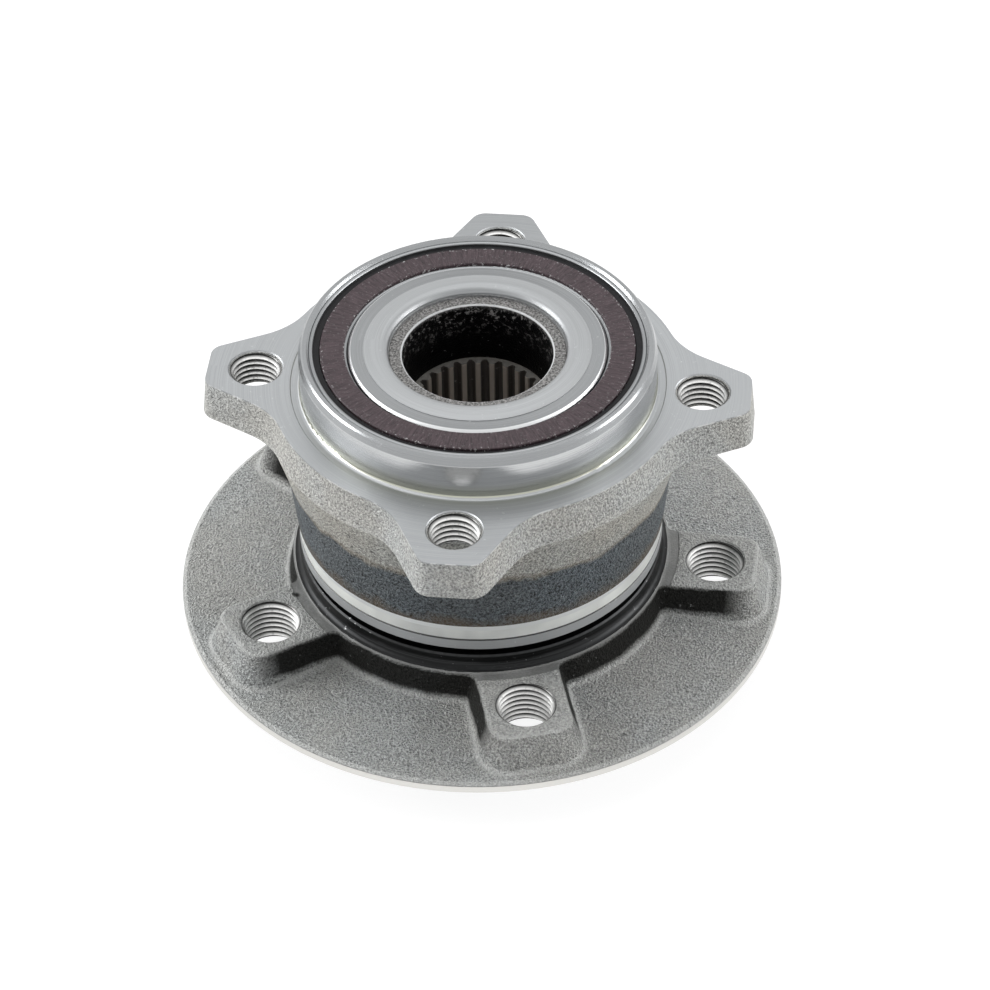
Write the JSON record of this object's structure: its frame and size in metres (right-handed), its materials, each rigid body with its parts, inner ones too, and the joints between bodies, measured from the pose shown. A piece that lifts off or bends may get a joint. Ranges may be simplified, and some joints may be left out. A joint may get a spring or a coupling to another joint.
{
  "type": "wheel hub bearing",
  "caption": "Flanged wheel hub bearing: a splined hub with a wheel flange turns on two ball rows inside an outer ring that bolts to the steering knuckle.",
  "frame": {"origin": "centre of the wheel bolt circle on the face that the brake disc and wheel rest on", "axes": "+Z along the hub's axis from the wheel to the knuckle, +X and +Y through the knuckle bolt ears"},
  "size_m": [0.144, 0.144, 0.0863],
  "materials": {
    "forged_ring_steel": "rough forged skin with turned faces",
    "forged_hub_steel": "rough forged skin with turned faces",
    "bearing_steel": "ground",
    "ball_steel": "polished",
    "seal_steel": "pressed sheet",
    "seal_rubber": "matt",
    "sensor_rubber": "satin, fine radial streaks",
    "cage_plastic": "moulded"
  },
  "bodies": {
    "outer": {"outer_ring": "forged_ring_steel", "inboard_seal_case": "seal_steel", "inboard_seal_lips": "seal_rubber", "outboard_seal_case": "seal_steel", "outboard_seal_lips": "seal_rubber"},
    "hub": {"wheel_hub": "forged_hub_steel", "inner_ring": "bearing_steel", "encoder_carrier": "seal_steel", "encoder_ring": "sensor_rubber"},
    "inboard_row": {"inboard_cage": "cage_plastic", "inboard_ball_01": "ball_steel", "inboard_ball_02": "ball_steel", "inboard_ball_03": "ball_steel", "inboard_ball_04": "ball_steel", "inboard_ball_05": "ball_steel", "inboard_ball_06": "ball_steel", "inboard_ball_07": "ball_steel", "inboard_ball_08": "ball_steel", "inboard_ball_09": "ball_steel", "inboard_ball_10": "ball_steel", "inboard_ball_11": "ball_steel", "inboard_ball_12": "ball_steel", "inboard_ball_13": "ball_steel", "inboard_ball_14": "ball_steel"},
    "outboard_row": {"outboard_cage": "cage_plastic", "outboard_ball_01": "ball_steel", "outboard_ball_02": "ball_steel", "outboard_ball_03": "ball_steel", "outboard_ball_04": "ball_steel", "outboard_ball_05": "ball_steel", "outboard_ball_06": "ball_steel", "outboard_ball_07": "ball_steel", "outboard_ball_08": "ball_steel", "outboard_ball_09": "ball_steel", "outboard_ball_10": "ball_steel", "outboard_ball_11": "ball_steel", "outboard_ball_12": "ball_steel", "outboard_ball_13": "ball_steel", "outboard_ball_14": "ball_steel"}
  },
  "joints": [
    {"name": "hub_spin", "type": "hinge", "parent": "outer", "child": "hub", "pos_m": [0, 0, 0], "axis": [0, 0, 1], "continuous": true},
    {"name": "inboard_row_orbit", "type": "hinge", "parent": "outer", "child": "inboard_row", "pos_m": [0, 0, 0], "axis": [0, 0, 1], "continuous": true},
    {"name": "outboard_row_orbit", "type": "hinge", "parent": "outer", "child": "outboard_row", "pos_m": [0, 0, 0], "axis": [0, 0, 1], "continuous": true}
  ],
  "couplings": [
    {"joint": "inboard_row_orbit", "follows": "hub_spin", "ratio": 0.42302},
    {"joint": "outboard_row_orbit", "follows": "hub_spin", "ratio": 0.42302}
  ]
}
